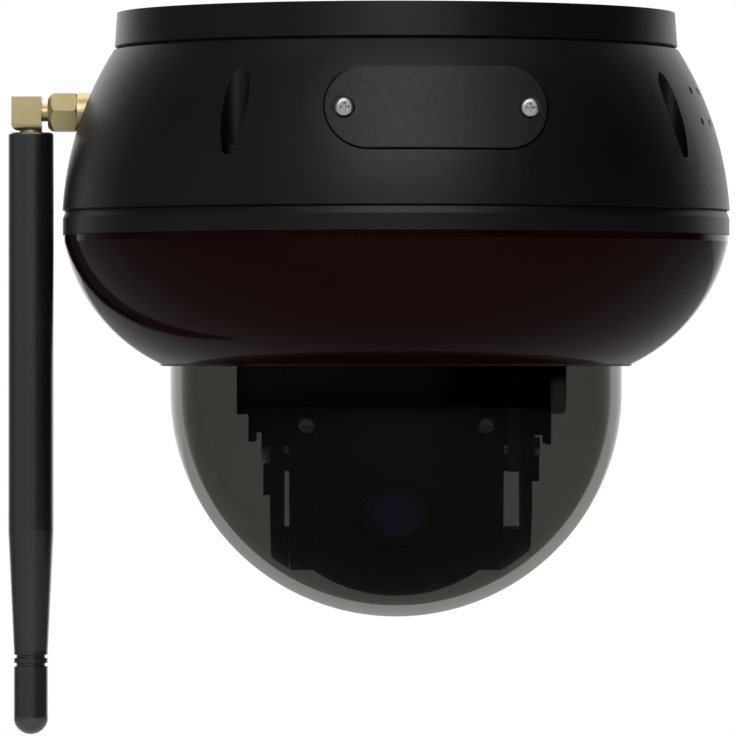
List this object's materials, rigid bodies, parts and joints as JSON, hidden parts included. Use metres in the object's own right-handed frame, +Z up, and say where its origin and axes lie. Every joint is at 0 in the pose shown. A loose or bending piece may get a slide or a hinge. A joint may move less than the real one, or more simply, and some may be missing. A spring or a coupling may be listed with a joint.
{
  "type": "security camera",
  "caption": "Ceiling-hung pan and tilt security camera: domed head under a round black housing, dark infrared band, card bay cover and swivelling whip antenna.",
  "frame": {"origin": "centre of the base's face that meets the ceiling", "axes": "+Z up into the ceiling, -Y out of the front (card bay cover and lens), -X towards the antenna"},
  "size_m": [0.1571, 0.1452, 0.1568],
  "materials": {
    "housing_black": "fine black powder coat on cast aluminium",
    "cover_black": "black moulded plastic with a fine grain",
    "window_red": "dark red gloss polycarbonate, nearly opaque",
    "dome_smoke": "smoked clear polycarbonate",
    "seal_rubber": "matt black rubber",
    "screw_steel": "zinc-plated steel",
    "screw_black": "blackened steel",
    "gold_brass": "satin gold plate on brass",
    "antenna_black": "satin black flexible plastic",
    "head_black": "fine black moulded plastic",
    "inner_black": "black nylon",
    "plate_steel": "bare aluminium",
    "bearing_steel": "polished bearing steel",
    "gear_nylon": "natural acetal",
    "motor_metal": "plated steel can",
    "board_green": "green solder mask",
    "board_white": "white solder mask",
    "socket_metal": "stamped steel shell",
    "switch_black": "moulded component body",
    "button_grey": "grey moulded plastic",
    "led_clear": "clear epoxy lens",
    "lens_glass": "coated optical glass",
    "filter_glass": "infrared cut filter glass"
  },
  "bodies": {
    "housing": {"mount_base": "housing_black", "hang_studs": "screw_steel", "lock_screw": "screw_steel", "base_gasket": "seal_rubber", "cable_gland": "inner_black", "upper_housing": "housing_black", "housing_screws": "screw_black", "housing_seal": "seal_rubber", "trim_ring": "housing_black", "ir_window": "window_red", "dome_gasket": "seal_rubber", "dome_bubble": "dome_smoke", "dome_retaining_ring": "inner_black", "light_shroud": "inner_black", "chassis_plate": "plate_steel", "standoffs": "plate_steel", "inner_screws": "screw_steel", "main_board": "board_green", "heatsink": "plate_steel", "speaker": "inner_black", "bay_tray": "inner_black", "card_socket": "socket_metal", "reset_switch": "switch_black", "ir_led_board": "board_white", "ir_leds": "led_clear", "pan_hub": "plate_steel", "hub_nut": "plate_steel", "bearing_inner_race": "bearing_steel", "bearing_balls": "bearing_steel", "pan_motor": "motor_metal", "sma_bulkhead": "gold_brass", "sma_lock_nut": "gold_brass"},
    "bay_cover": {"cover_plate": "cover_black", "cover_gasket": "seal_rubber", "cover_screws": "screw_steel"},
    "reset_button": {"reset_button": "button_grey"},
    "pan_head": {"bearing_outer_race": "bearing_steel", "pan_turntable": "gear_nylon", "pan_gear": "gear_nylon", "yoke_frame": "head_black", "yoke_screws": "screw_steel", "tilt_bushes": "gear_nylon", "tilt_motor": "motor_metal"},
    "pan_pinion": {"pan_pinion": "gear_nylon"},
    "tilt_pinion": {"tilt_pinion": "gear_nylon"},
    "camera_head": {"camera_front_shell": "head_black", "camera_rear_shell": "head_black", "shell_screws": "screw_steel", "lens_barrel": "inner_black", "front_lens": "lens_glass", "ir_cut_frame": "inner_black", "image_sensor": "switch_black", "sensor_board": "board_green", "tilt_shafts": "bearing_steel", "tilt_gear": "gear_nylon"},
    "ir_filter": {"ir_cut_filter": "filter_glass"},
    "antenna": {"antenna_elbow": "gold_brass", "antenna_sleeve": "antenna_black"},
    "antenna_nut": {"sma_coupling_nut": "gold_brass"}
  },
  "joints": [
    {"name": "bay_cover_lift", "type": "slide", "parent": "housing", "child": "bay_cover", "axis": [0.1271, -0.9919, 0], "range_m": [0, 0.03]},
    {"name": "reset_press", "type": "slide", "parent": "housing", "child": "reset_button", "axis": [-0.1271, 0.9919, 0], "range_m": [0, 0.0004], "stiffness_N_per_m": 500, "springref_m": -0.0005},
    {"name": "antenna_swivel", "type": "hinge", "parent": "housing", "child": "antenna", "pos_m": [-0.0765, 0, -0.0215], "axis": [1, 0, 0], "range_deg": [-90, 90]},
    {"name": "antenna_nut_spin", "type": "hinge", "parent": "housing", "child": "antenna_nut", "pos_m": [-0.0725, 0, -0.0215], "axis": [1, 0, 0], "continuous": true},
    {"name": "pan", "type": "hinge", "parent": "housing", "child": "pan_head", "pos_m": [0, 0, -0.0515], "axis": [0, 0, 1], "range_deg": [-170, 170]},
    {"name": "pan_pinion_spin", "type": "hinge", "parent": "housing", "child": "pan_pinion", "pos_m": [0.02436, 0.02436, -0.051], "axis": [0, 0, 1], "range_deg": [-880, 880]},
    {"name": "tilt", "type": "hinge", "parent": "pan_head", "child": "camera_head", "pos_m": [0, 0, -0.0947], "axis": [1, 0, 0], "range_deg": [-28, 62]},
    {"name": "tilt_pinion_spin", "type": "hinge", "parent": "pan_head", "child": "tilt_pinion", "pos_m": [0.0255, 0, -0.07966], "axis": [1, 0, 0], "range_deg": [-210, 98]},
    {"name": "ir_filter_shift", "type": "slide", "parent": "camera_head", "child": "ir_filter", "axis": [1, 0, 0], "range_m": [0, 0.006]}
  ],
  "couplings": [
    {"joint": "pan_pinion_spin", "follows": "pan", "ratio": -5.1429},
    {"joint": "tilt_pinion_spin", "follows": "tilt", "ratio": -3.2857}
  ]
}
